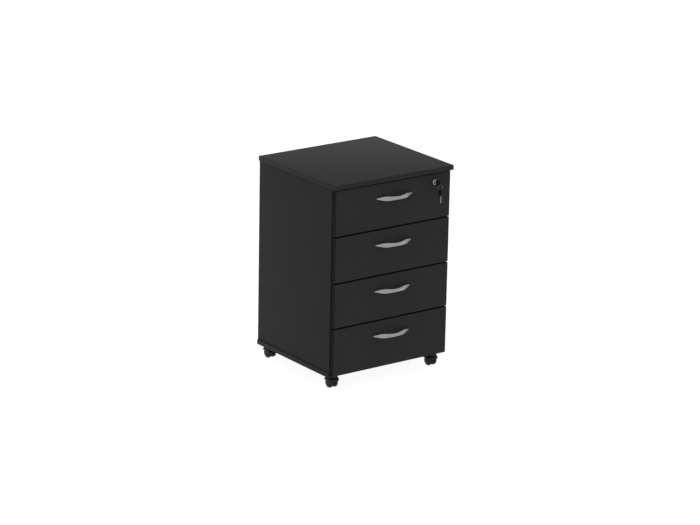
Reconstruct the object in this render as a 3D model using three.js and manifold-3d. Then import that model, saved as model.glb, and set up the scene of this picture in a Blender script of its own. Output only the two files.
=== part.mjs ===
// Rolling pedestal cabinet: four board-fronted drawers, one lock, four twin-wheel castors.
// Millimetres. +X is the cabinet's right, -Y its drawer side, +Z up, and the floor is z = 0.
// Y is counted from the drawers' front face while building. The whole part moves by SHIFT_Y last.
import * as THREE from "three";
import Module from "manifold-3d";

const wasm = await Module();
wasm.setup();

// ---- driving dimensions ----
const GAP = 0.3;                    // air left between two pieces that lie on each other
const BOARD = 16;                   // board thickness of the carcass
const CARCASS_W = 460;
const CARCASS_FRONT = 16;           // front edges of the carcass, behind the drawers' face
const BACK = 417;                   // rear face of the carcass
const BASE_Z = 44;                  // underside of the base panel, on top of the castors
const TOP_Z = 685;                  // upper face of the top panel
const TOP_W = 468;
const TOP_FRONT = -6.5;             // the top panel reaches over the drawer fronts
const BASE_W = 466;
const SHIFT_Y = -188.25;              // puts the middle of the overall depth at y = 0

const FRONT_W = 453;
const FRONT_T = 15;
const FRONT_GAP = 3;
// Middles of the gaps above and below the fronts, from the foot of the lowest front upwards.
const GAP_LEVELS = [49.5, 209.6, 360, 513.6, 667.5];

const INNER_X = CARCASS_W / 2 - BOARD;   // inner face of the right side panel
const RUNNER_GAP = 12.7;                 // between a side panel and a tray
const TRAY_LIFT = 14;                    // tray's underside above the foot of its front
const TRAY_H = 76;
const TRAY_T = 1;
const TRAY_BACK = 385;
const TRAY_X = INNER_X - RUNNER_GAP;

const HANDLE_DROP = 48.8;           // handle's middle below the front's upper edge
const HANDLE_REACH = 28.6;
const HANDLE_STRAP = 4;
const HANDLE_HALF = 70;
const HANDLE_SCREW_X = 48;
// Half the handle's height along its right half, as [x, half height].
const HANDLE_EDGE = [[0, 5.4], [15, 5.8], [38, 7.6], [48, 6.6], [60, 3.7], [HANDLE_HALF, 1.7]];

const LOCK_X = 163;
const LOCK_Z = 637.5;
const LOCK_PIN_R = 6;               // eccentric pin's distance from the lock's axis
const LOCK_TURN = Math.PI / 2;
const BAR_LIFT = 2 * LOCK_PIN_R * Math.sin(LOCK_TURN / 2);

const WHEEL_R = 17;
const CASTOR_X = 199;
const CASTOR_INSET = 21;            // pivot from the carcass's front and rear edges
const CASTOR_TRAIL = 6;             // axle from pivot

// ---- helpers ----
const group = new THREE.Group();

function solid(geometry) {
  const g = geometry.index ? geometry.toNonIndexed() : geometry.clone();
  g.deleteAttribute("normal");
  g.deleteAttribute("uv");
  const position = g.getAttribute("position");
  const keys = new Map();
  const vertices = [];
  const triangles = [];
  for (let i = 0; i < position.count; i += 1) {
    const point = [position.getX(i), position.getY(i), position.getZ(i)];
    const key = point.map((v) => Math.round(v * 1e4)).join(",");
    if (!keys.has(key)) {
      keys.set(key, vertices.length / 3);
      vertices.push(...point);
    }
    triangles.push(keys.get(key));
  }
  const kept = [];
  for (let i = 0; i < triangles.length; i += 3) {
    const [a, b, c] = triangles.slice(i, i + 3);
    if (a !== b && b !== c && c !== a) kept.push(a, b, c);
  }
  return new wasm.Manifold(new wasm.Mesh({
    numProp: 3,
    vertProperties: new Float32Array(vertices),
    triVerts: new Uint32Array(kept),
  }));
}

function block(x0, x1, y0, y1, z0, z1) {
  const g = new THREE.BoxGeometry(x1 - x0, y1 - y0, z1 - z0);
  g.translate((x0 + x1) / 2, (y0 + y1) / 2, (z0 + z1) / 2);
  return solid(g);
}

// Outline in a plane, given as points or as a Shape, extruded from `from` to `to`.
function prism(outline, plane, from, to) {
  const shape = outline instanceof THREE.Shape
    ? outline
    : new THREE.Shape(outline.map(([u, v]) => new THREE.Vector2(u, v)));
  const g = new THREE.ExtrudeGeometry(shape, { depth: to - from, bevelEnabled: false, curveSegments: 4 });
  g.translate(0, 0, from);
  if (plane === "xz") g.applyMatrix4(new THREE.Matrix4().set(1, 0, 0, 0, 0, 0, 1, 0, 0, 1, 0, 0, 0, 0, 0, 1));
  if (plane === "yz") g.applyMatrix4(new THREE.Matrix4().set(0, 0, 1, 0, 1, 0, 0, 0, 0, 1, 0, 0, 0, 0, 0, 1));
  const s = solid(g);
  return s.volume() < 0 ? solid(flipped(g)) : s;
}

function flipped(geometry) {
  const g = geometry.index ? geometry.toNonIndexed() : geometry.clone();
  const p = g.getAttribute("position");
  for (let i = 0; i < p.count; i += 3) {
    const a = new THREE.Vector3().fromBufferAttribute(p, i);
    const b = new THREE.Vector3().fromBufferAttribute(p, i + 1);
    p.setXYZ(i, b.x, b.y, b.z);
    p.setXYZ(i + 1, a.x, a.y, a.z);
  }
  return g;
}

// Profile of [radius, height] turned about +Z, then laid along the axis asked for.
function turned(profile, axis, segments = 32) {
  const points = profile.map(([r, h]) => new THREE.Vector2(r, h));
  const g = new THREE.LatheGeometry(points, segments);
  g.rotateX(Math.PI / 2);
  if (axis === "x") g.rotateY(Math.PI / 2);
  if (axis === "y") g.rotateX(-Math.PI / 2);
  const s = solid(g);
  return s.volume() < 0 ? solid(flipped(g)) : s;
}

function rod(axis, radius, from, to, segments = 16) {
  return turned([[0, from], [radius, from], [radius, to], [0, to]], axis, segments);
}

function roundedShape(u0, u1, v0, v1, r) {
  const shape = new THREE.Shape();
  shape.moveTo(u0 + r, v0);
  shape.lineTo(u1 - r, v0);
  shape.absarc(u1 - r, v0 + r, r, -Math.PI / 2, 0, false);
  shape.lineTo(u1, v1 - r);
  shape.absarc(u1 - r, v1 - r, r, 0, Math.PI / 2, false);
  shape.lineTo(u0 + r, v1);
  shape.absarc(u0 + r, v1 - r, r, Math.PI / 2, Math.PI, false);
  shape.lineTo(u0, v0 + r);
  shape.absarc(u0 + r, v0 + r, r, Math.PI, 1.5 * Math.PI, false);
  return shape;
}

function add(name, body, colour) {
  const data = body.translate([0, SHIFT_Y, 0]).getMesh();
  const g = new THREE.BufferGeometry();
  const points = new Float32Array(data.numVert * 3);
  for (let i = 0; i < data.numVert; i += 1) {
    for (let k = 0; k < 3; k += 1) points[3 * i + k] = data.vertProperties[data.numProp * i + k];
  }
  g.setAttribute("position", new THREE.BufferAttribute(points, 3));
  g.setIndex(new THREE.BufferAttribute(new Uint32Array(data.triVerts), 1));
  g.computeVertexNormals();
  const mesh = new THREE.Mesh(g, new THREE.MeshStandardMaterial({ color: colour }));
  mesh.name = name;
  group.add(mesh);
}

const BLACK = 0x2c2d30;
const SILVER = 0xb9bbbd;
const STEEL = 0x8d9196;

// ---- carcass ----
const topUnder = TOP_Z - BOARD;
const floorTop = BASE_Z + BOARD;
add("top_panel", block(-TOP_W / 2, TOP_W / 2, TOP_FRONT, BACK, topUnder, TOP_Z), BLACK);
add("base_panel", block(-BASE_W / 2, BASE_W / 2, CARCASS_FRONT, BACK, BASE_Z, floorTop), BLACK);
for (const [name, side] of [["side_panel_left", -1], ["side_panel_right", 1]]) {
  const xs = [side * INNER_X, side * CARCASS_W / 2].sort((a, b) => a - b);
  add(name, block(xs[0], xs[1], CARCASS_FRONT, BACK, floorTop + GAP, topUnder - GAP), BLACK);
}
const backHalf = INNER_X - GAP;
add("back_panel", block(-backHalf, backHalf, BACK - BOARD, BACK, floorTop + GAP, topUnder - GAP), BLACK);

// ---- drawers ----
// Distance of the strap's inner face from the board: a cosine bow, a little fuller in the middle.
function bowDepth(x) {
  const arch = Math.max(0, Math.cos((Math.PI * x) / (2 * HANDLE_HALF)));
  return Math.max(GAP, (HANDLE_REACH - HANDLE_STRAP) * arch ** 1.15);
}

// A bow handle: a strap bent in plan, cut to its waisted front outline, with a post at each screw.
function handle(zMiddle) {
  const outer = [];
  const inner = [];
  const steps = 18;
  for (let i = 0; i <= steps; i += 1) {
    const x = -HANDLE_HALF + (2 * HANDLE_HALF * i) / steps;
    outer.push([x, -bowDepth(x) - HANDLE_STRAP]);
    inner.push([x, -bowDepth(x)]);
  }
  const strap = prism([...outer, ...inner.reverse()], "xy", -12, 12);
  const leftHalf = HANDLE_EDGE.slice(1).reverse().map(([x, h]) => [-x, h]);
  const edge = [...leftHalf, ...HANDLE_EDGE];
  const mirrored = edge.map(([x, h]) => [x, -h]).reverse();
  const outline = prism([...edge, ...mirrored], "xz", -HANDLE_REACH - 5, 5);
  let body = strap.intersect(outline);
  for (const side of [-1, 1]) {
    const post = rod("y", 3.5, -bowDepth(HANDLE_SCREW_X) - 2, -GAP);
    body = body.add(post.translate([side * HANDLE_SCREW_X, 0, 0]));
  }
  return body.translate([0, 0, zMiddle]);
}

// Steel roller runners. u is measured from the side panel's inner face towards the tray.
const RUNNER_BACK = 390;
const CABINET_ROLLER_Y = 52;
const DRAWER_ROLLER_Y = 375;
const ROLLER_R = 8.5;
const FLANGE_FOOT = 25.5;           // drawer runner's flange and the levels below, from the tray's underside
const CATCH_TOP = FLANGE_FOOT - GAP - BAR_LIFT;
const LUG_FOOT = CATCH_TOP + 0.5;

function onSide(side, u) {
  return side * (INNER_X - u);
}

function sideBlock(side, u0, u1, y0, y1, z0, z1) {
  const a = onSide(side, u0);
  const b = onSide(side, u1);
  return block(Math.min(a, b), Math.max(a, b), y0, y1, z0, z1);
}

function sideRod(side, radius, u0, u1, y, z) {
  const a = onSide(side, u0);
  const b = onSide(side, u1);
  return rod("x", radius, Math.min(a, b), Math.max(a, b)).translate([0, y, z]);
}

function cabinetRunner(side, zTray) {
  const web = sideBlock(side, GAP, 1.8, 40, RUNNER_BACK, zTray, zTray + 22);
  const channel = sideBlock(side, GAP, 10, 64, RUNNER_BACK, zTray, zTray + 22)
    .subtract(sideBlock(side, 1.8, 11, 60, RUNNER_BACK - 2, zTray + 1.5, zTray + 20.5));
  const roller = sideRod(side, ROLLER_R, 3, 9, CABINET_ROLLER_Y, zTray + 16.7);
  const stub = sideRod(side, 3, 1, 9.8, CABINET_ROLLER_Y, zTray + 16.7);
  return web.add(channel).add(roller).add(stub);
}

function drawerRunner(side, zTray) {
  let body = sideBlock(side, 11, 12.4, 17, TRAY_BACK, zTray - 1.8, zTray + 27);
  body = body.add(sideBlock(side, 11, 24, 17, TRAY_BACK, zTray - 1.8, zTray - GAP));
  body = body.add(sideBlock(side, 3, 12.4, 17, TRAY_BACK, zTray + FLANGE_FOOT, zTray + 27));
  body = body.add(sideRod(side, ROLLER_R, 3, 9, DRAWER_ROLLER_Y, zTray + 11));
  body = body.add(sideRod(side, 3, 2.2, 11.5, DRAWER_ROLLER_Y, zTray + 11));
  // On the lock's side a lug hangs from the flange. A raised catch stands in front of it.
  if (side > 0) body = body.add(sideBlock(side, 3, 9, 33.5, 37.5, zTray + LUG_FOOT, zTray + 26));
  return body;
}

const trayLevels = [];
for (let number = 1; number <= 4; number += 1) {
  const low = GAP_LEVELS[4 - number] + FRONT_GAP / 2;
  const high = GAP_LEVELS[5 - number] - FRONT_GAP / 2;
  const zTray = low + TRAY_LIFT;
  trayLevels.push(zTray);
  let front = block(-FRONT_W / 2, FRONT_W / 2, 0, FRONT_T, low, high);
  if (number === 1) {
    front = front.subtract(rod("y", 8.5, -1, FRONT_T + 1, 32).translate([LOCK_X, 0, LOCK_Z]));
  }
  add(`drawer_front_${number}`, front, BLACK);
  add(`handle_${number}`, handle(high - HANDLE_DROP), SILVER);
  const trayFront = FRONT_T + GAP;
  const tray = block(-TRAY_X, TRAY_X, trayFront, TRAY_BACK, zTray, zTray + TRAY_H)
    .subtract(block(-TRAY_X + TRAY_T, TRAY_X - TRAY_T, trayFront + TRAY_T, TRAY_BACK - TRAY_T,
      zTray + TRAY_T, zTray + TRAY_H + 1));
  add(`drawer_tray_${number}`, tray, STEEL);
  for (const [word, side] of [["left", -1], ["right", 1]]) {
    add(`cabinet_runner_${number}_${word}`, cabinetRunner(side, zTray), STEEL);
    add(`drawer_runner_${number}_${word}`, drawerRunner(side, zTray), STEEL);
  }
}

// ---- lock ----
const atLock = (body) => body.translate([LOCK_X, 0, LOCK_Z]);
const housing = turned([
  [6.6, -4], [8.1, -4], [9.2, -3], [9.2, -GAP], [8.2, -GAP], [8.2, 24], [6.6, 24], [6.6, -4],
], "y", 24);
add("lock_housing", atLock(housing), SILVER);

const pinAside = -LOCK_PIN_R * Math.sin(LOCK_TURN / 2);
const plug = turned([[0, -3.4], [6.2, -3.4], [6.2, 24.4], [8.2, 24.4], [8.2, 27], [0, 27]], "y", 20)
  .add(rod("y", 1.5, 26, 37, 16).translate([pinAside, 0, pinAside]))
  .subtract(block(-1.2, 1.2, -5, 18, -4.2, 4.2));
add("lock_plug", atLock(plug), SILVER);

// A flat key: plastic head with a ring hole, and a blade. Drawn in a plane of (along, across).
const KEY_HOLE_R = 2.6;
const KEY_HEAD = 29.5;
const SPARE_HEAD = 23;
function key(headLength, bladeLength) {
  const head = roundedShape(0, headLength, -10, 10, 5);
  const hole = new THREE.Path();
  hole.absarc(4.5, 0, KEY_HOLE_R, 0, 2 * Math.PI, true);
  head.holes.push(hole);
  const blade = [[headLength - 2, -3.8], [headLength + bladeLength - 3, -3.8], [headLength + bladeLength, -1],
    [headLength + bladeLength, 1], [headLength + bladeLength - 3, 3.8], [headLength - 2, 3.8]];
  return prism(head, "yz", -1.5, 1.5).add(prism(blade, "yz", -0.9, 0.9));
}
const KEY_OUT = -35;
add("key", atLock(key(KEY_HEAD, 22.5).translate([0, KEY_OUT, 0])), BLACK);

const RING_R = 8;
const RING_WIRE = 0.7;
const REST = 0.2;                   // slack of the ring in a key's hole
const ringY = KEY_OUT + 4.5;
const ringTop = LOCK_Z - KEY_HOLE_R + RING_WIRE + REST;
const ring = solid(new THREE.TorusGeometry(RING_R, RING_WIRE, 6, 24).rotateX(Math.PI / 2));
add("key_ring", ring.translate([LOCK_X, ringY, ringTop - RING_R]), SILVER);

const ringFoot = ringTop - 2 * RING_R;
const spareHole = ringFoot - KEY_HOLE_R + RING_WIRE + REST;
const spare = key(SPARE_HEAD, 26).rotate([-90, 0, 0]);
add("spare_key", spare.translate([LOCK_X, ringY, spareHole + 4.5]), BLACK);

// The locking bar slides on the right side panel. Its catches rise in front of the runners' lugs.
const BAR_FRONT = 20;
const BAR_BACK = 36;
let bar = sideBlock(1, GAP, 2.3, BAR_FRONT, BAR_BACK, trayLevels[3] + 10, LOCK_Z + 6);
for (const zTray of trayLevels) {
  bar = bar.add(sideBlock(1, 1.5, 9, 24, 32, zTray + CATCH_TOP - 8, zTray + CATCH_TOP));
}
const pinZ = LOCK_Z + pinAside;
const armEnd = INNER_X - LOCK_X + LOCK_PIN_R + 6;
const slot = block(LOCK_X - LOCK_PIN_R - 2.5, LOCK_X + pinAside + 2.5, 28, 34, pinZ - 2.1, pinZ + 2.1);
bar = bar.add(sideBlock(1, GAP, armEnd, 30, 32, LOCK_Z - 14, LOCK_Z + 6)).subtract(slot);
add("lock_bar", bar, STEEL);

const guide = sideBlock(1, GAP, 4.6, 17, 39, 578, 592)
  .subtract(sideBlock(1, 0, 2.6, BAR_FRONT - GAP, BAR_BACK + GAP, 570, 600));
add("lock_bar_guide", guide, STEEL);

// ---- castors ----
// Built about the axle's middle. `trail` is the pivot's place along Y, seen from the axle.
function castorBody(pivot) {
  const web = prism(roundedShape(-13, 13, 8, 34, 6), "yz", -4.5, 4.5);
  const crown = rod("x", 20.2, -17.5, 17.5, 28).subtract(rod("x", 18.2, -18, 18, 28))
    .translate([0, 0, WHEEL_R]);
  const roof = crown.subtract(block(-20, 20, -30, 30, -10, WHEEL_R + 5));
  const boss = rod("z", 7, 35.4, 39.6).translate([0, pivot, 0]);
  const link = block(-4.5, 4.5, -12, 12, 30, 36.2);
  return web.add(roof).add(link).add(boss)
    .subtract(rod("z", 3.3, 23, 42).translate([0, pivot, 0]))
    .subtract(rod("x", 2.3, -6, 6).translate([0, 0, WHEEL_R]));
}
const wheelProfile = [
  [0, 18.2], [6, 17.8], [11, 16.6], [14.5, 14.8], [16.4, 13], [WHEEL_R, 11], [WHEEL_R, 6],
  [16.2, 5], [2.3, 5], [2.3, 13.5], [0, 13.5],
];
const corners = [
  ["front_left", -1, CARCASS_FRONT + CASTOR_INSET, 1],
  ["front_right", 1, CARCASS_FRONT + CASTOR_INSET, 1],
  ["rear_left", -1, BACK - CASTOR_INSET, -1],
  ["rear_right", 1, BACK - CASTOR_INSET, -1],
];
for (const [place, side, pivotY, towards] of corners) {
  const x = side * CASTOR_X;
  const axleY = pivotY + towards * CASTOR_TRAIL;
  const plate = rod("z", 17, 40, BASE_Z - GAP, 20).add(rod("z", 3, 23.6, 41));
  add(`castor_plate_${place}`, plate.translate([x, pivotY, 0]), STEEL);
  add(`castor_body_${place}`, castorBody(-towards * CASTOR_TRAIL).translate([x, axleY, 0]), BLACK);
  add(`castor_axle_${place}`, rod("x", 2, -13, 13).translate([x, axleY, WHEEL_R]), STEEL);
  for (const [word, hand] of [["left", -1], ["right", 1]]) {
    const wheel = turned(wheelProfile, "x", 24);
    const facing = hand > 0 ? wheel : wheel.rotate([0, 0, 180]);
    add(`castor_wheel_${place}_${word}`, facing.translate([x, axleY, WHEEL_R]), BLACK);
  }
}

export default group;
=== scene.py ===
import math

import bmesh
import bpy
from mathutils import Matrix, Vector


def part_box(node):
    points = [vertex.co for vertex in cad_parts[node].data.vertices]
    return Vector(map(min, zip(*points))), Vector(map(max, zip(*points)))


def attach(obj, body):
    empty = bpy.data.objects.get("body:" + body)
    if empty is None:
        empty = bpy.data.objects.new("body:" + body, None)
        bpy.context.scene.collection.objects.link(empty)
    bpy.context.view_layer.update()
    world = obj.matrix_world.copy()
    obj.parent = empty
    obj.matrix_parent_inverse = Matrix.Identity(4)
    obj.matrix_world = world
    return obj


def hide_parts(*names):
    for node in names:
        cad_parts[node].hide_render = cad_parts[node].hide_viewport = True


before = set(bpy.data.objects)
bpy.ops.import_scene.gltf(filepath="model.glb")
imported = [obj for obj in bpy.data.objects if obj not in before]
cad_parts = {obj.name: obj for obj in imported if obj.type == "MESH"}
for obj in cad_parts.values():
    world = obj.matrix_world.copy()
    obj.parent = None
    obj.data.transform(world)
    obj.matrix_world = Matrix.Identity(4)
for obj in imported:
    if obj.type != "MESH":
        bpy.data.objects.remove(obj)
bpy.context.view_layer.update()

MM = 0.001

# ---- boards and drawer fronts ----
BOARD_EDGE_R = 1.0
FRONT_EDGE_R = 2.6          # rounded rim round a drawer front's face
FRONT_CORNER_R = 1.2
FRONT_REAR_EDGE = 0.6

# ---- handles ----
# Outline of the handle's right half as (distance from its middle, half its height).
HANDLE_EDGE = [(0, 5.4), (15, 5.8), (38, 7.6), (48, 6.6), (60, 3.7), (70, 1.7)]
HANDLE_SOFTENING = 3.0      # the outline's corners are averaged over this far to each side
HANDLE_STATIONS = 72        # cross-sections along the strap
HANDLE_STRAP = 4.0
HANDLE_BOW_POWER = 1.15
HANDLE_EDGE_R = 1.4
HANDLE_TIP = 2.5            # the strap gets smaller over this last stretch
HANDLE_TIP_SCALE = 0.55     # the size of its last cross-section
HANDLE_SCREW_X = 48
HANDLE_POST_R = 3.5
HANDLE_POST_SINK = 1.5      # how far a post runs into the strap

# ---- trays ----
TRAY_SHEET = 1.0
TRAY_CORNER_R = 4.0
TRAY_RIBS = 5
TRAY_RIB_HALF = 5
TRAY_RIB_INSET = 35         # from the tray's front and rear walls
TRAY_SCREWS_X = (-150, -50, 50, 150)
TRAY_SCREW_LIFT = 45

# ---- runners ----
# u is the distance from a side panel's inner face towards the tray. Y counts from a track's front end.
# Heights count from the foot of a cabinet's track, or from the underside of a drawer's tray.
CABINET_WEB_U = (0.3, 1.6)
CABINET_FLANGE_U = (0.8, 10)
CABINET_LIP_U = (8.8, 10)
CABINET_TRACK_H = 22
CABINET_SHEET = 1.3
CABINET_FLANGE_START = 24   # the roller takes up the track's front end
CABINET_HOLES = (40, 168, 296)
CABINET_SLOTS = (72, 232)
CABINET_ROLLER_Y = 12
CABINET_ROLLER_Z = 16.7
CABINET_STUB_U = (1.2, 9.9)
DRAWER_WEB_U = (11, 12.4)
DRAWER_FOOT_U = (11, 24)
DRAWER_FLANGE_U = (3, 12.4)
DRAWER_TRACK_DROP = 1.8     # a drawer's track starts this far below its tray
DRAWER_SHEET = 1.4
DRAWER_FLANGE_Z = (25.5, 27)
DRAWER_SLOTS = (60, 200)
DRAWER_SLOT_Z = (9, 13.4)
DRAWER_ROLLER_INSET = 10
DRAWER_ROLLER_Z = 11
DRAWER_RIVET_U = (2.4, 12.2)
LUG_U = (3.2, 9)            # the lug that a raised catch of the locking bar stands in front of
LUG_Y = (16.5, 20.5)
LUG_Z = (17.3, 26.3)
ROLLER_U = (3.1, 8.9)
ROLLER_R = 8.5
ROLLER_PIN_R = 3

# ---- lock and keys ----
LOCK_BORE_R = 6.6
LOCK_BARREL_R = 8.2
LOCK_BEZEL_DEPTH = 3.7
KEY_HEAD_HALF = 10
KEY_HEAD_R = 5.5
KEY_HEAD_THICK = 3.0
KEY_HOLE_R = 2.7
KEY_HOLE_PLACE = 4.5        # from the head's outer end
KEY_BLADE_HALF = 3.8
KEY_BLADE_THICK = 1.8
KEY_HEAD_IN_LOCK = 29.5
KEY_HEAD_ON_RING = 23
RING_WIRE_R = 0.48
RING_BODY_R = 0.7           # half the thickness of the ring in the frame
RING_TURNS = 1.9
RING_STATIONS = 96

# ---- castors ----
WHEEL_R = 17.0
WHEEL_INNER = 5             # a wheel's inner face, from the castor's middle
HOOD_HALF_W = 17.4
HOOD_R = (18.3, 20.2)
HOOD_START = 18             # degrees above the axle's level at both of the hood's ends
HOOD_STATIONS = 28
HOOD_WEB = (12.5, 4.4)      # half its length and half its thickness
HOOD_WEB_Z = (8.5, 35.8)
AXLE_R = 2
STEM_R = 3.0
FLANGE_R = 17
FLANGE_THICK = 3.7

# ---- camera, floor and light ----
CAMERA_PLACE = (-5.602, -7.582, 3.301)
CAMERA_YAW = 36.32          # degrees turned from +Y towards +X
CAMERA_PITCH = 17.41        # degrees looking down
CAMERA_ROLL = 1.146
CAMERA_LENS = 156.7
FLOOR_GLOW = 0.93           # a floor that shines by itself keeps hardly any shadow
FLOOR_HALF = 30             # metres
SKY_STRENGTH = 1.08


def rotation_from_view(yaw, pitch, roll):
    """Camera rotation for a view direction given as yaw, pitch and roll in degrees."""
    y, p, r = (math.radians(v) for v in (yaw, pitch, roll))
    forward = Vector((math.sin(y) * math.cos(p), math.cos(y) * math.cos(p), -math.sin(p)))
    right = Vector((math.cos(y), -math.sin(y), 0))
    up = right.cross(forward)
    rolled_right = right * math.cos(r) + up * math.sin(r)
    rolled_up = up * math.cos(r) - right * math.sin(r)
    return Matrix((rolled_right, rolled_up, -forward)).transposed()


def make_camera():
    data = bpy.data.cameras.new("camera")
    data.sensor_width = 36
    data.lens = CAMERA_LENS
    data.clip_start = 0.1
    data.clip_end = 100
    camera = bpy.data.objects.new("camera", data)
    bpy.context.scene.collection.objects.link(camera)
    rotation = rotation_from_view(CAMERA_YAW, CAMERA_PITCH, CAMERA_ROLL)
    camera.matrix_world = Matrix.Translation(CAMERA_PLACE) @ rotation.to_4x4()
    bpy.context.scene.camera = camera


make_camera()


# ---- materials ----
class Shader:
    """A Principled material with helpers for the few node patterns used here."""

    def __init__(self, name, roughness, metallic=0.0, specular=0.5):
        self.material = bpy.data.materials.new(name)
        self.material.use_nodes = True
        self.tree = self.material.node_tree
        self.surface = self.tree.nodes["Principled BSDF"]
        self.surface.inputs["Roughness"].default_value = roughness
        self.surface.inputs["Metallic"].default_value = metallic
        self.surface.inputs["Specular IOR Level"].default_value = specular
        self.coords = self.tree.nodes.new("ShaderNodeTexCoord").outputs["Object"]

    def noise(self, scale, detail, stretch=(1, 1, 1)):
        """Noise over the object; scale is in cells per metre, stretch multiplies it along each axis."""
        mapping = self.tree.nodes.new("ShaderNodeMapping")
        mapping.inputs["Scale"].default_value = stretch
        self.tree.links.new(self.coords, mapping.inputs["Vector"])
        noise = self.tree.nodes.new("ShaderNodeTexNoise")
        noise.inputs["Scale"].default_value = scale
        noise.inputs["Detail"].default_value = detail
        self.tree.links.new(mapping.outputs["Vector"], noise.inputs["Vector"])
        return noise.outputs["Fac"]

    def colour(self, value, dark, light, low=0.35, high=0.65):
        """Base colour that goes from dark to light as value goes from low to high."""
        ramp = self.tree.nodes.new("ShaderNodeValToRGB")
        self.tree.links.new(value, ramp.inputs["Fac"])
        stops = ((low, dark), (high, light))
        for element, (position, colour) in zip(ramp.color_ramp.elements, stops):
            element.position = position
            element.color = (*colour, 1)
        self.tree.links.new(ramp.outputs["Color"], self.surface.inputs["Base Color"])

    def roughness(self, value, low, high):
        node = self.tree.nodes.new("ShaderNodeMapRange")
        node.inputs["From Min"].default_value = 0.3
        node.inputs["From Max"].default_value = 0.7
        node.inputs["To Min"].default_value = low
        node.inputs["To Max"].default_value = high
        self.tree.links.new(value, node.inputs["Value"])
        self.tree.links.new(node.outputs["Result"], self.surface.inputs["Roughness"])

    def bump(self, value, height_mm):
        node = self.tree.nodes.new("ShaderNodeBump")
        node.inputs["Distance"].default_value = height_mm * MM
        node.inputs["Strength"].default_value = 1.0
        self.tree.links.new(value, node.inputs["Height"])
        self.tree.links.new(node.outputs["Normal"], self.surface.inputs["Normal"])


def grey(value, warmth=0.0):
    return (value * (1 + warmth), value, value * (1 - warmth))


def melamine(name, level):
    """Black melamine board: a fine pearled grain, a very faint cloudiness and a satin sheen."""
    s = Shader(name, 0.6, specular=0.05)
    s.colour(s.noise(9, 4), grey(level * 0.98), grey(level * 1.02))
    s.roughness(s.noise(500, 3), 0.55, 0.68)
    s.bump(s.noise(1500, 2), 0.02)
    return s.material


def edge_tape(name, level):
    """Plastic edging, smoother than the board, with small paler flecks."""
    s = Shader(name, 0.5, specular=0.08)
    s.colour(s.noise(220, 6), grey(level), grey(level * 1.3), 0.55, 0.8)
    s.roughness(s.noise(300, 3), 0.45, 0.56)
    s.bump(s.noise(900, 2), 0.012)
    return s.material


def satin_silver():
    """Satin silver finish with a fine grain that runs along the handle."""
    s = Shader("satin_silver", 0.4, metallic=0.85)
    s.colour(s.noise(35, 3), (0.26, 0.26, 0.263), (0.30, 0.30, 0.303))
    s.roughness(s.noise(1200, 3, (0.12, 1, 1)), 0.36, 0.5)
    s.bump(s.noise(1500, 2, (0.1, 1, 1)), 0.006)
    return s.material


def nickel(name, level):
    """Polished nickel plate with a slightly uneven shine."""
    s = Shader(name, 0.25, metallic=1.0)
    s.colour(s.noise(150, 3), grey(level * 0.93, 0.02), grey(level * 1.07, 0.02))
    s.roughness(s.noise(700, 4), 0.2, 0.34)
    s.bump(s.noise(1400, 2), 0.003)
    return s.material


def zinc():
    """Bluish zinc plate on small steel parts."""
    s = Shader("zinc_plate", 0.38, metallic=1.0)
    s.colour(s.noise(120, 5), (0.4, 0.41, 0.42), (0.55, 0.56, 0.57))
    s.roughness(s.noise(300, 4), 0.28, 0.5)
    s.bump(s.noise(900, 3), 0.006)
    return s.material


def powder_coat(name, level):
    """Baked powder paint on steel: a fine orange peel and an even satin sheen."""
    s = Shader(name, 0.5, specular=0.35)
    s.colour(s.noise(30, 4), grey(level * 0.96), grey(level * 1.04))
    s.roughness(s.noise(400, 3), 0.46, 0.56)
    s.bump(s.noise(1100, 1), 0.05)
    return s.material


def moulded_plastic(name, level, roughness=0.42, warmth=0.0, specular=0.2):
    """Moulded nylon or acrylic: spark-eroded grain with a slightly uneven polish."""
    s = Shader(name, roughness, specular=specular)
    s.colour(s.noise(120, 4), grey(level * 0.88, warmth), grey(level * 1.12, warmth))
    s.roughness(s.noise(140, 3), roughness - 0.06, roughness + 0.1)
    s.bump(s.noise(1700, 2), 0.02)
    return s.material


BOARD_FACE = melamine("black_melamine", 0.0182)
BOARD_TAPE = edge_tape("carcass_edge_tape", 0.0148)
# The drawer fronts get their own copy of the black melamine, a little paler than the carcass boards: painted
# light standing in for the light the fronts catch.
FRONT_FACE_PAINTED_BRIGHTER = melamine("black_melamine_front_painted_brighter", 0.0188)
FRONT_TAPE = edge_tape("front_edge_tape", 0.0035)
SILVER = satin_silver()
NICKEL = nickel("bright_nickel", 0.46)
RING_STEEL = nickel("key_ring_steel", 0.2)
ZINC = zinc()
TRAY_COAT = powder_coat("tray_powder_coat", 0.032)
RUNNER_COAT = powder_coat("runner_epoxy_coat", 0.05)
CASTOR_PLASTIC = moulded_plastic("castor_nylon", 0.008)
TREAD = moulded_plastic("castor_tread", 0.006, 0.6)
KEY_PLASTIC = moulded_plastic("key_head_plastic", 0.010, 0.3)
ROLLER_PLASTIC = moulded_plastic("roller_nylon", 0.62, 0.35, 0.03, 0.5)


# ---- mesh building, in millimetres ----
def box_mm(node):
    low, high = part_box(node)
    return Vector(low) / MM, Vector(high) / MM


def middle(node):
    low, high = box_mm(node)
    return (low + high) / 2


def piece(name, bm, materials, body, replaced=(), sharp=35):
    """Turns a bmesh in millimetres into a named object that rides on a body.

    An edge that turns by more than `sharp` degrees is shaded as an edge, and all others smoothly.
    """
    bmesh.ops.scale(bm, vec=(MM, MM, MM), verts=bm.verts)
    bmesh.ops.recalc_face_normals(bm, faces=bm.faces)
    mesh = bpy.data.meshes.new(name)
    bm.to_mesh(mesh)
    bm.free()
    mesh.shade_smooth()
    mesh.set_sharp_from_angle(angle=math.radians(sharp))
    for material in materials:
        mesh.materials.append(material)
    made = bpy.data.objects.new(name, mesh)
    bpy.context.scene.collection.objects.link(made)
    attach(made, body)
    if replaced:
        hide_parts(*replaced)


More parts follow.
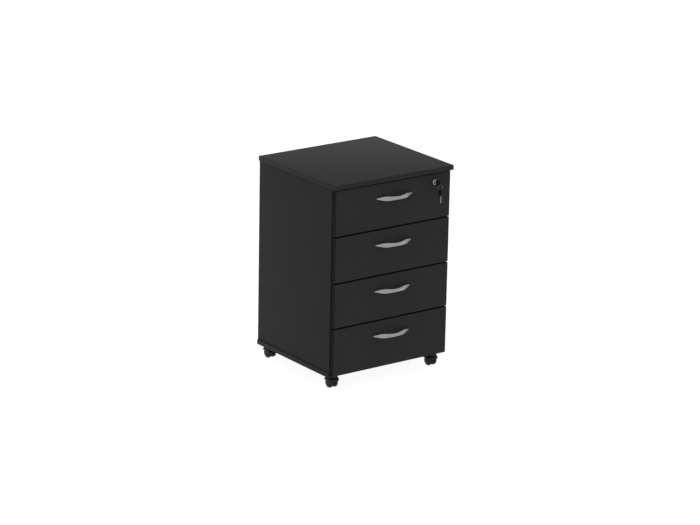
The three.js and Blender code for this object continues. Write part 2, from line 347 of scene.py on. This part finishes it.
def add_box(bm, low, high, radius, segments=2):
    """Adds a box with all its edges rounded."""
    size = Vector(high) - Vector(low)
    place = (Vector(high) + Vector(low)) / 2
    made = bmesh.ops.create_cube(bm, size=1, matrix=Matrix.Translation(place) @ Matrix.Diagonal((*size, 1)))
    edges = list({e for v in made["verts"] for e in v.link_edges})
    bmesh.ops.bevel(bm, geom=edges, offset=radius, segments=segments, profile=0.5, affect="EDGES")


def add_rings(bm, rings, closed=False):
    """Skins a list of rings of points; caps both ends unless the rings close on themselves."""
    rows = [[bm.verts.new(p) for p in ring] for ring in rings]
    count = len(rows[0])
    pairs = list(zip(rows, rows[1:]))
    if closed:
        pairs.append((rows[-1], rows[0]))
    for a, b in pairs:
        for i in range(count):
            j = (i + 1) % count
            bm.faces.new((a[i], a[j], b[j], b[i]))
    if not closed:
        for row in (rows[0], rows[-1]):
            bm.faces.new(row)


def axis_point(axis, along, a, b):
    if axis == "x":
        return Vector((along, a, b))
    if axis == "y":
        return Vector((a, along, b))
    return Vector((a, b, along))


def add_lathe(bm, profile, axis, centre, steps):
    """Turns a profile of (radius, height) about an axis. It closes on itself or ends at radius 0."""
    smallest = 0.02     # a point on the axis becomes a ring too small to see
    rings = []
    for radius, height in profile:
        ring = []
        for i in range(steps):
            angle = 2 * math.pi * i / steps
            r = max(radius, smallest)
            ring.append(Vector(centre) + axis_point(axis, height, r * math.cos(angle), r * math.sin(angle)))
        rings.append(ring)
    loops = profile[0] == profile[-1]
    add_rings(bm, rings[:-1] if loops else rings, closed=loops)


def add_rod(bm, axis, centre, radius, start, end):
    """A round rod with softened ends."""
    edge = 0.3
    profile = [(0, start), (radius - edge, start), (radius, start + edge),
               (radius, end - edge), (radius - edge, end), (0, end)]
    add_lathe(bm, profile, axis, centre, 32)


def rounded_rectangle(u0, u1, v0, v1, radius, steps=6):
    """Points round a rectangle with rounded corners, anticlockwise."""
    points = []
    corners = [(u1 - radius, v0 + radius, -90), (u1 - radius, v1 - radius, 0),
               (u0 + radius, v1 - radius, 90), (u0 + radius, v0 + radius, 180)]
    for u, v, start in corners:
        for i in range(steps + 1):
            angle = math.radians(start + 90 * i / steps)
            points.append((u + radius * math.cos(angle), v + radius * math.sin(angle)))
    return points


def circle(u, v, radius):
    steps = 28
    angles = [2 * math.pi * i / steps for i in range(steps)]
    return [(u + radius * math.cos(angle), v + radius * math.sin(angle)) for angle in angles]


def add_plate(bm, outlines, axis, start, end, edge=0.25):
    """A flat plate with softened edges. The first outline is its rim and the others are holes through it."""
    curve = bpy.data.curves.new("outline", "CURVE")
    curve.dimensions = "2D"
    curve.fill_mode = "BOTH"
    curve.extrude = (end - start) / 2 - edge
    curve.bevel_depth = edge
    curve.bevel_resolution = 1
    curve.offset = -edge
    for outline in outlines:
        spline = curve.splines.new("POLY")
        spline.points.add(len(outline) - 1)
        for point, (u, v) in zip(spline.points, outline):
            point.co = (u, v, 0, 1)
        spline.use_cyclic_u = True
    holder = bpy.data.objects.new("outline", curve)
    bpy.context.scene.collection.objects.link(holder)
    mesh = bpy.data.meshes.new_from_object(holder.evaluated_get(bpy.context.evaluated_depsgraph_get()))
    bpy.data.objects.remove(holder)
    bpy.data.curves.remove(curve)
    level = (start + end) / 2
    for v in mesh.vertices:
        v.co = axis_point(axis, level + v.co.z, v.co.x, v.co.y)
    bm.from_mesh(mesh)
    bpy.data.meshes.remove(mesh)
    bmesh.ops.remove_doubles(bm, verts=bm.verts, dist=0.002)


def add_screw(bm, axis, centre, towards, radius=3.6, height=1.9):
    """A domed screw head. towards is +1 or -1 along the axis, the way its head faces."""
    dome = [(0, 0), (1, 0), (1, 0.26), (0.86, 0.68), (0.5, 0.92), (0, 1)]
    add_lathe(bm, [(radius * r, height * h * towards) for r, h in dome], axis, centre, 24)


def face_and_edges(bm, axis):
    """Material 0 on the faces across an axis and 1 on all the others."""
    bmesh.ops.recalc_face_normals(bm, faces=bm.faces)
    for face in bm.faces:
        face.material_index = 0 if abs(face.normal[axis]) > 0.9 else 1


# ---- carcass ----
def make_carcass():
    boards = {"top_panel": 2, "base_panel": 2, "side_panel_left": 0, "side_panel_right": 0, "back_panel": 1}
    for node, thin_axis in boards.items():
        bm = bmesh.new()
        add_box(bm, *box_mm(node), BOARD_EDGE_R, 3)
        face_and_edges(bm, thin_axis)
        piece(node.replace("panel", "board"), bm, [BOARD_FACE, BOARD_TAPE], "carcass", [node])


make_carcass()


# ---- drawers ----
def front_board(number):
    """A drawer front whose face side has well rounded edges and corners."""
    low, high = box_mm(f"drawer_front_{number}")
    steps = 5
    rings = []
    for i in range(steps + 1):
        angle = math.radians(90 * i / steps)
        inset = FRONT_EDGE_R * (1 - math.sin(angle))
        depth = low.y + FRONT_EDGE_R * (1 - math.cos(angle))
        rings.append((inset, depth))
    rings += [(0, high.y - FRONT_REAR_EDGE), (FRONT_REAR_EDGE, high.y)]
    loops = []
    for inset, depth in rings:
        outline = rounded_rectangle(low.x + inset, high.x - inset, low.z + inset, high.z - inset,
                                    FRONT_CORNER_R, 3)
        loops.append([Vector((u, depth, v)) for u, v in outline])
    bm = bmesh.new()
    add_rings(bm, loops)
    face_and_edges(bm, 1)
    return bm


def handle_height(x):
    """Half the handle's height at x: straight runs between the stations, softened over a few millimetres."""
    samples = range(-3, 4)
    total = 0.0
    for k in samples:
        here = min(abs(x + HANDLE_SOFTENING * k / samples[-1]), HANDLE_EDGE[-1][0])
        for (x0, h0), (x1, h1) in zip(HANDLE_EDGE, HANDLE_EDGE[1:]):
            if x0 <= here <= x1:
                total += h0 + (h1 - h0) * (here - x0) / (x1 - x0)
                break
    return total / len(samples)


def bow_depth(x, half, reach):
    """Distance of the strap's inner face from the board: a cosine bow, a little fuller in the middle."""
    arch = max(0.0, math.cos(math.pi * x / (2 * half)))
    return (reach - HANDLE_STRAP) * arch ** HANDLE_BOW_POWER


def handle(number):
    """A strap handle bent to a bow in plan and waisted in front view, with soft edges and two posts."""
    low, high = box_mm(f"handle_{number}")
    half = (high.x - low.x) / 2
    middle_z = (low.z + high.z) / 2
    face_y = high.y
    reach = high.y - low.y
    rings = []
    for i in range(HANDLE_STATIONS + 1):
        x = -half + 2 * half * i / HANDLE_STATIONS
        to_tip = min(1.0, (half - abs(x)) / HANDLE_TIP)
        scale = HANDLE_TIP_SCALE + (1 - HANDLE_TIP_SCALE) * math.sin(to_tip * math.pi / 2)
        half_thick = HANDLE_STRAP / 2 * scale
        half_high = handle_height(x) * scale
        edge = min(HANDLE_EDGE_R, half_thick * 0.8, half_high * 0.8)
        level = face_y - bow_depth(x, half, reach) - HANDLE_STRAP / 2
        section = rounded_rectangle(-half_thick, half_thick, -half_high, half_high, edge, 5)
        rings.append([Vector((x, level + u, middle_z + v)) for u, v in section])
    bm = bmesh.new()
    add_rings(bm, rings)
    post_end = face_y - bow_depth(HANDLE_SCREW_X, half, reach) - HANDLE_POST_SINK
    for side in (-1, 1):
        add_rod(bm, "y", (side * HANDLE_SCREW_X, 0, middle_z), HANDLE_POST_R, post_end, face_y)
    return bm


def tray(number):
    """A folded steel tray: rounded upright corners, a rolled rim and pressed ribs in its floor."""
    low, high = box_mm(f"drawer_tray_{number}")
    sheet = TRAY_SHEET
    top = high.z - low.z
    # (inset from the outside, height above the underside), from the underside round the rim to the floor
    outside = [(2.5, 0), (0.8, 0.7), (0, 2.4)]
    rim = [(0, top - 1.2), (0.3, top - 0.4), (1.2, top), (2.4, top - 0.3), (3.0, top - 1.2),
           (2.7, top - 2.2), (sheet + 0.2, top - 2.8), (sheet, top - 3.6)]
    inside = [(sheet, 3.2), (sheet + 0.8, sheet + 0.7), (sheet + 2.4, sheet)]
    loops = []
    for inset, height in outside + rim + inside:
        corner = max(TRAY_CORNER_R - inset, 0.6)
        outline = rounded_rectangle(low.x + inset, high.x - inset, low.y + inset, high.y - inset, corner, 4)
        loops.append([Vector((u, v, low.z + height)) for u, v in outline])
    bm = bmesh.new()
    add_rings(bm, loops)
    pitch = (high.x - low.x) / (TRAY_RIBS + 1)
    for i in range(TRAY_RIBS):
        x = low.x + pitch * (i + 1)
        foot = (x - TRAY_RIB_HALF, low.y + TRAY_RIB_INSET, low.z + sheet - 0.5)
        crest = (x + TRAY_RIB_HALF, high.y - TRAY_RIB_INSET, low.z + sheet + 1.2)
        add_box(bm, foot, crest, 1.1, 3)
    return bm


def drawer_screws(number):
    """Heads of the handle's screws behind the front, and of those that hold the tray to the front."""
    bm = bmesh.new()
    back_y = box_mm(f"drawer_front_{number}")[1].y
    low = box_mm(f"drawer_tray_{number}")[0]
    for side in (-1, 1):
        add_screw(bm, "y", (side * HANDLE_SCREW_X, back_y, middle(f"handle_{number}").z), 1)
    for x in TRAY_SCREWS_X:
        add_screw(bm, "y", (x, low.y + TRAY_SHEET, low.z + TRAY_SCREW_LIFT), 1, 3.2)
    return bm


# ---- runners ----
INNER_X = box_mm("side_panel_right")[0].x


def span(side, u_span):
    """The x limits of what lies between two distances u from a side panel's inner face."""
    return sorted(side * (INNER_X - u) for u in u_span)


def add_strip(bm, side, u_span, y_span, z_span, radius=0.4):
    """A box beside a side panel, such as one fold of a track."""
    x0, x1 = span(side, u_span)
    add_box(bm, (x0, y_span[0], z_span[0]), (x1, y_span[1], z_span[1]), radius)


def add_roller(name, body, side, y, z):
    """A nylon roller with a shallow groove between two raised rims."""
    a, b = span(side, ROLLER_U)
    r = ROLLER_R
    # (radius, distance from the roller's nearer end), from the axis over the rim into the groove
    half = [(0, 0), (r - 2.6, 0), (r - 2.2, 0.5), (r - 0.5, 0), (r, 0.6), (r, 1.3), (r - 0.6, 1.8)]
    profile = [(radius, a + h) for radius, h in half] + [(radius, b - h) for radius, h in half[::-1]]
    bm = bmesh.new()
    add_lathe(bm, profile, "x", (0, y, z), 36)
    piece(name, bm, [ROLLER_PLASTIC], body)


def cabinet_track(number, word, side):
    """The fixed member: a channel with a screw in each hole and a roller at its front end."""
    node = f"cabinet_runner_{number}_{word}"
    low, high = box_mm(node)
    start, end, z = low.y, high.y, low.z
    axis_z = z + CABINET_TRACK_H / 2
    hole_places = [start + y for y in CABINET_HOLES]
    web = rounded_rectangle(start, end, z, z + CABINET_TRACK_H, 2)
    holes = [circle(y, axis_z, 2.4) for y in hole_places]
    slots = [rounded_rectangle(start + y - 6, start + y + 6, axis_z - 2.2, axis_z + 2.2, 2.1)
             for y in CABINET_SLOTS]
    bm = bmesh.new()
    add_plate(bm, [web, *holes, *slots], "x", *span(side, CABINET_WEB_U))
    folds = (start + CABINET_FLANGE_START, end)
    for foot, lip_z in ((z, (0.2, 3.1)), (z + CABINET_TRACK_H - CABINET_SHEET, (-0.9, 0.2))):
        add_strip(bm, side, CABINET_FLANGE_U, folds, (foot, foot + CABINET_SHEET))
        add_strip(bm, side, CABINET_LIP_U, folds, [foot + height for height in lip_z])
    piece(f"cabinet_track_{number}_{word}", bm, [RUNNER_COAT], "carcass", [node])

    roller_y = start + CABINET_ROLLER_Y
    roller_z = z + CABINET_ROLLER_Z
    web_face = side * (INNER_X - CABINET_WEB_U[1])
    bm = bmesh.new()
    for y in hole_places:
        add_screw(bm, "x", (web_face, y, axis_z), -side, 3.4, 0.6)
    add_rod(bm, "x", (0, roller_y, roller_z), ROLLER_PIN_R, *span(side, CABINET_STUB_U))
    piece(f"cabinet_track_screws_{number}_{word}", bm, [ZINC], "carcass")
    add_roller(f"cabinet_roller_{number}_{word}", "carcass", side, roller_y, roller_z)


def drawer_track(number, word, side):
    """The moving member: a web beside the tray, folded under it and out at the top, with a roller behind."""
    node = f"drawer_runner_{number}_{word}"
    body = f"drawer_{number}"
    low, high = box_mm(node)
    tray_z = low.z + DRAWER_TRACK_DROP
    length = (low.y, high.y)
    flange_z = [tray_z + height for height in DRAWER_FLANGE_Z]
    slot_z = [tray_z + height for height in DRAWER_SLOT_Z]
    web = rounded_rectangle(*length, low.z, flange_z[1], 1.5)
    slots = [rounded_rectangle(low.y + y - 7, low.y + y + 7, *slot_z, 2.1) for y in DRAWER_SLOTS]
    bm = bmesh.new()
    add_plate(bm, [web, *slots], "x", *span(side, DRAWER_WEB_U))
    add_strip(bm, side, DRAWER_FOOT_U, length, (low.z, low.z + DRAWER_SHEET))
    add_strip(bm, side, DRAWER_FLANGE_U, length, flange_z)
    if side > 0:
        lug_y = [low.y + y for y in LUG_Y]
        add_strip(bm, side, LUG_U, lug_y, [tray_z + height for height in LUG_Z], 0.5)
    piece(f"drawer_track_{number}_{word}", bm, [RUNNER_COAT], body, [node])

    roller_y = high.y - DRAWER_ROLLER_INSET
    roller_z = tray_z + DRAWER_ROLLER_Z
    bm = bmesh.new()
    add_rod(bm, "x", (0, roller_y, roller_z), ROLLER_PIN_R, *span(side, DRAWER_RIVET_U))
    piece(f"drawer_track_rivet_{number}_{word}", bm, [ZINC], body)
    add_roller(f"drawer_roller_{number}_{word}", body, side, roller_y, roller_z)


def make_drawer(number):
    body = f"drawer_{number}"
    piece(f"front_board_{number}", front_board(number), [FRONT_FACE_PAINTED_BRIGHTER, FRONT_TAPE], body,
          [f"drawer_front_{number}"])
    piece(f"bow_handle_{number}", handle(number), [SILVER], body, [f"handle_{number}"], sharp=50)
    piece(f"steel_tray_{number}", tray(number), [TRAY_COAT], body, [f"drawer_tray_{number}"])
    piece(f"drawer_screws_{number}", drawer_screws(number), [ZINC], body)
    for word, side in (("left", -1), ("right", 1)):
        cabinet_track(number, word, side)
        drawer_track(number, word, side)


for number in range(1, 5):
    make_drawer(number)


# ---- lock ----
def polish_cad(node, material, width):
    """Keeps a CAD node's own shape, softens its edges and gives it a material."""
    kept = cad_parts[node]
    kept.data.materials.clear()
    kept.data.materials.append(material)
    bevel = kept.modifiers.new("soft_edges", "BEVEL")
    bevel.width = width * MM
    bevel.segments = 2
    bevel.limit_method = "ANGLE"
    bevel.angle_limit = math.radians(40)


def lock_housing():
    """A barrel through the drawer front, with a domed bezel round the keyway."""
    low, high = box_mm("lock_housing")
    centre = middle("lock_housing")
    face = low.y
    rim = (high.x - low.x) / 2
    seat = face + LOCK_BEZEL_DEPTH
    bezel = [(LOCK_BORE_R, face + 0.8), (6.8, face + 0.2), (7.3, face), (7.9, face + 0.2),
             (rim - 0.6, face + 0.8), (rim - 0.15, face + 1.6), (rim, face + 2.6), (rim, seat)]
    barrel = [(LOCK_BARREL_R, seat), (LOCK_BARREL_R, high.y), (LOCK_BORE_R, high.y)]
    bm = bmesh.new()
    add_lathe(bm, bezel + barrel + bezel[:1], "y", (centre.x, 0, centre.z), 64)
    return bm


def blade_outline(start, end):
    """Blade outline with its cut side, between two distances from the head's outer end."""
    half = KEY_BLADE_HALF
    # (distance from the start, half width) where each cut begins and ends
    cuts = [(0, half), (6, half), (7.5, 2.2), (9.5, 2.2), (11, 3.2), (12.5, 3.2), (14, 1.2), (16, 1.2),
            (18, 2.8), (20, 2.8), (21.5, 1.8), (23, 1.8)]
    cut_side = [(start + u, v) for u, v in cuts] + [(end - 1.5, 1.2), (end, 0)]
    return [(start, -half), (end - 3, -half), (end - 0.6, -1.6)] + cut_side[::-1]


def make_key(name, node, body, head_length, hangs):
    """A flat key with three grip bars. It points along +Y, or down if it hangs."""
    low, high = box_mm(node)
    centre = (low + high) / 2
    length = high.z - low.z if hangs else high.y - low.y

    def place(u, v):
        """Where u along the key and v across it lie in the YZ plane."""
        return (centre.y + v, high.z - u) if hangs else (low.y + u, centre.z + v)

    rim = rounded_rectangle(0, head_length, -KEY_HEAD_HALF, KEY_HEAD_HALF, KEY_HEAD_R, 8)
    head = [place(u, v) for u, v in rim]
    hole = [place(u, v) for u, v in circle(KEY_HOLE_PLACE, 0, KEY_HOLE_R)]
    half = KEY_HEAD_THICK / 2
    bm = bmesh.new()
    add_plate(bm, [head, hole], "x", centre.x - half, centre.x + half, 0.6)
    for row in range(3):
        u = head_length - 6 - 3.6 * row
        ys, zs = zip(place(u - 0.8, -5.5), place(u + 0.8, 5.5))
        for side in (-1, 1):
            level = centre.x + side * 1.3
            add_box(bm, (level - 0.45, min(ys), min(zs)), (level + 0.45, max(ys), max(zs)), 0.4)
    piece(f"{name}_head", bm, [KEY_PLASTIC], body, [node])
    blade = [place(u, v) for u, v in blade_outline(head_length - 2, length)]
    half = KEY_BLADE_THICK / 2
    bm = bmesh.new()
    add_plate(bm, [blade], "x", centre.x - half, centre.x + half, 0.2)
    piece(f"{name}_blade", bm, [NICKEL], body)


def split_ring():
    """A split key ring: nearly two close turns of round wire."""
    low, high = box_mm("key_ring")
    centre = (low + high) / 2
    radius = (high.x - low.x) / 2 - RING_BODY_R
    round_steps = 10
    rings = []
    for i in range(RING_STATIONS + 1):
        t = i / RING_STATIONS
        angle = 2 * math.pi * RING_TURNS * t + 0.6
        out = Vector((math.cos(angle), 0, math.sin(angle)))
        place = centre + out * radius + Vector((0, (2 * t - 1) * RING_WIRE_R, 0))
        scale = RING_WIRE_R * min(1, 0.35 + min(t, 1 - t) * 12)
        ring = []
        for k in range(round_steps):
            turn = 2 * math.pi * k / round_steps
            ring.append(place + out * (scale * math.cos(turn)) + Vector((0, scale * math.sin(turn), 0)))
        rings.append(ring)
    bm = bmesh.new()
    add_rings(bm, rings)
    return bm


piece("lock_bezel_barrel", lock_housing(), [NICKEL], "drawer_1", ["lock_housing"], sharp=50)
polish_cad("lock_plug", NICKEL, 0.25)
make_key("key_in_lock", "key", "lock_core", KEY_HEAD_IN_LOCK, hangs=False)
make_key("key_on_ring", "spare_key", "spare_key", KEY_HEAD_ON_RING, hangs=True)
piece("split_ring", split_ring(), [RING_STEEL], "key_ring", ["key_ring"], sharp=60)
polish_cad("lock_bar", ZINC, 0.3)
polish_cad("lock_bar_guide", ZINC, 0.3)


# ---- castors ----
def castor_hood(place):
    """Hood over both wheels, the web between them and the cup round the pivot."""
    axle = middle(f"castor_axle_{place}")
    pivot = middle(f"castor_plate_{place}")
    top = box_mm(f"castor_body_{place}")[1].z
    rings = []
    for i in range(HOOD_STATIONS + 1):
        angle = math.radians(HOOD_START + (180 - 2 * HOOD_START) * i / HOOD_STATIONS)
        out = Vector((0, math.cos(angle), math.sin(angle)))
        from_end = min(i, HOOD_STATIONS - i) / 3
        half = HOOD_HALF_W - 2.0 * max(0, 1 - from_end)
        section = rounded_rectangle(-half, half, *HOOD_R, 0.8, 4)
        rings.append([axle + out * r + Vector((u, 0, 0)) for u, r in section])
    bm = bmesh.new()
    add_rings(bm, rings)
    half_length, half_thick = HOOD_WEB
    web = rounded_rectangle(axle.y - half_length, axle.y + half_length, *HOOD_WEB_Z, 6, 6)
    add_plate(bm, [web], "x", axle.x - half_thick, axle.x + half_thick, 0.5)
    for side in (-1, 1):
        rib_y = axle.y + side * 15.8
        add_box(bm, (axle.x - 3, rib_y - 2.6, 24.5), (axle.x + 3, rib_y + 2.6, 29), 0.8)
    bore = STEM_R + 0.3
    foot = (bore, 35)
    cup = [foot, (11, 35), (14.4, 36.6), (15.8, 38), (16, top - 0.8), (15.4, top), (bore, top), foot]
    add_lathe(bm, cup, "z", (pivot.x, pivot.y, 0), 36)
    return bm


def wheel(place, word):
    """A nylon wheel with a soft tread, domed cover and a ring groove round its hub cap."""
    low, high = box_mm(f"castor_wheel_{place}_{word}")
    centre = (low + high) / 2
    outward = -1 if word == "left" else 1
    inner = high.x if outward < 0 else low.x
    # (radius, distance from the castor's middle)
    cover = [(0, 18.1), (3.2, 18.0), (5.6, 17.7), (6.0, 17.2), (6.5, 17.5), (9, 17.0), (11.5, 16.3),
             (13.6, 15.2), (14.4, 14.5), (14.7, 14.0), (15.2, 14.2), (16, 13.6), (16.6, 12.7)]
    tread = [(WHEEL_R, 11.6), (WHEEL_R, 6.6), (16.7, 5.6), (16, 5.1)]
    inside = [(13.5, 5.1), (13, 6.6), (6.5, 6.6), (6, 5.1), (2.4, 5.1), (2.4, 13), (0, 13)]
    profile = [(r, inner + outward * (h - WHEEL_INNER)) for r, h in cover + tread + inside]
    bm = bmesh.new()
    add_lathe(bm, profile, "x", (0, centre.y, centre.z), 64)
    tread_start = WHEEL_R - 0.45
    for face in bm.faces:
        spot = face.calc_center_median()
        radius = math.hypot(spot.y - centre.y, spot.z - centre.z)
        face.material_index = 1 if radius > tread_start else 0
    return bm


def castor_plate(place):
    """A round flange under the base panel, with the pivot stem."""
    low, high = box_mm(f"castor_plate_{place}")
    centre = (low + high) / 2
    top = high.z
    foot = top - FLANGE_THICK
    stem = [(0, low.z), (STEM_R - 0.5, low.z), (STEM_R, low.z + 0.5), (STEM_R, foot)]
    flange = [(FLANGE_R - 1.4, foot), (FLANGE_R - 0.4, foot + 0.6), (FLANGE_R, top - 2), (FLANGE_R, top),
              (0, top)]
    bm = bmesh.new()
    add_lathe(bm, stem + flange, "z", (centre.x, centre.y, 0), 56)
    return bm


def spindle(place):
    """The axle that both wheels turn on."""
    low, high = box_mm(f"castor_axle_{place}")
    bm = bmesh.new()
    add_rod(bm, "x", (0, (low.y + high.y) / 2, (low.z + high.z) / 2), AXLE_R, low.x, high.x)
    return bm


for place in ("front_left", "front_right", "rear_left", "rear_right"):
    body = f"castor_{place}"
    piece(f"castor_hood_{place}", castor_hood(place), [CASTOR_PLASTIC], body,
          [f"castor_body_{place}"])
    piece(f"castor_flange_{place}", castor_plate(place), [CASTOR_PLASTIC], "carcass",
          [f"castor_plate_{place}"])
    piece(f"castor_spindle_{place}", spindle(place), [ZINC], body, [f"castor_axle_{place}"])
    for word in ("left", "right"):
        piece(f"wheel_{place}_{word}", wheel(place, word), [CASTOR_PLASTIC, TREAD], f"wheel_{place}_{word}",
              [f"castor_wheel_{place}_{word}"], sharp=28)


# ---- floor and light ----
def pale_floor():
    s = Shader("pale_floor", 0.8, specular=0.1)
    s.colour(s.noise(3, 3), grey(0.11), grey(0.13))
    s.surface.inputs["Emission Color"].default_value = (1, 1, 1, 1)
    s.surface.inputs["Emission Strength"].default_value = FLOOR_GLOW
    s.bump(s.noise(300, 3), 0.05)
    bm = bmesh.new()
    bmesh.ops.create_grid(bm, x_segments=8, y_segments=8, size=FLOOR_HALF)
    mesh = bpy.data.meshes.new("floor")
    bm.to_mesh(mesh)
    bm.free()
    mesh.materials.append(s.material)
    floor = bpy.data.objects.new("floor", mesh)
    bpy.context.scene.collection.objects.link(floor)


def area_light(name, place, target, size, power):
    data = bpy.data.lights.new(name, "AREA")
    data.size = size
    data.energy = power
    light = bpy.data.objects.new(name, data)
    light.location = place
    light.rotation_euler = (Vector(target) - Vector(place)).to_track_quat("-Z", "Y").to_euler()
    bpy.context.scene.collection.objects.link(light)


def white_sky():
    world = bpy.data.worlds.new("studio")
    world.use_nodes = True
    background = world.node_tree.nodes["Background"]
    background.inputs["Color"].default_value = (1, 1, 1, 1)
    background.inputs["Strength"].default_value = SKY_STRENGTH
    bpy.context.scene.world = world


pale_floor()
white_sky()
area_light("overhead", (-0.6, -0.4, 3.2), (0, 0, 0.4), 3, 3)
area_light("left_side", (-3.2, -0.6, 1.6), (0, 0, 0.35), 2.2, 8)
bpy.context.scene.view_settings.view_transform = "Standard"
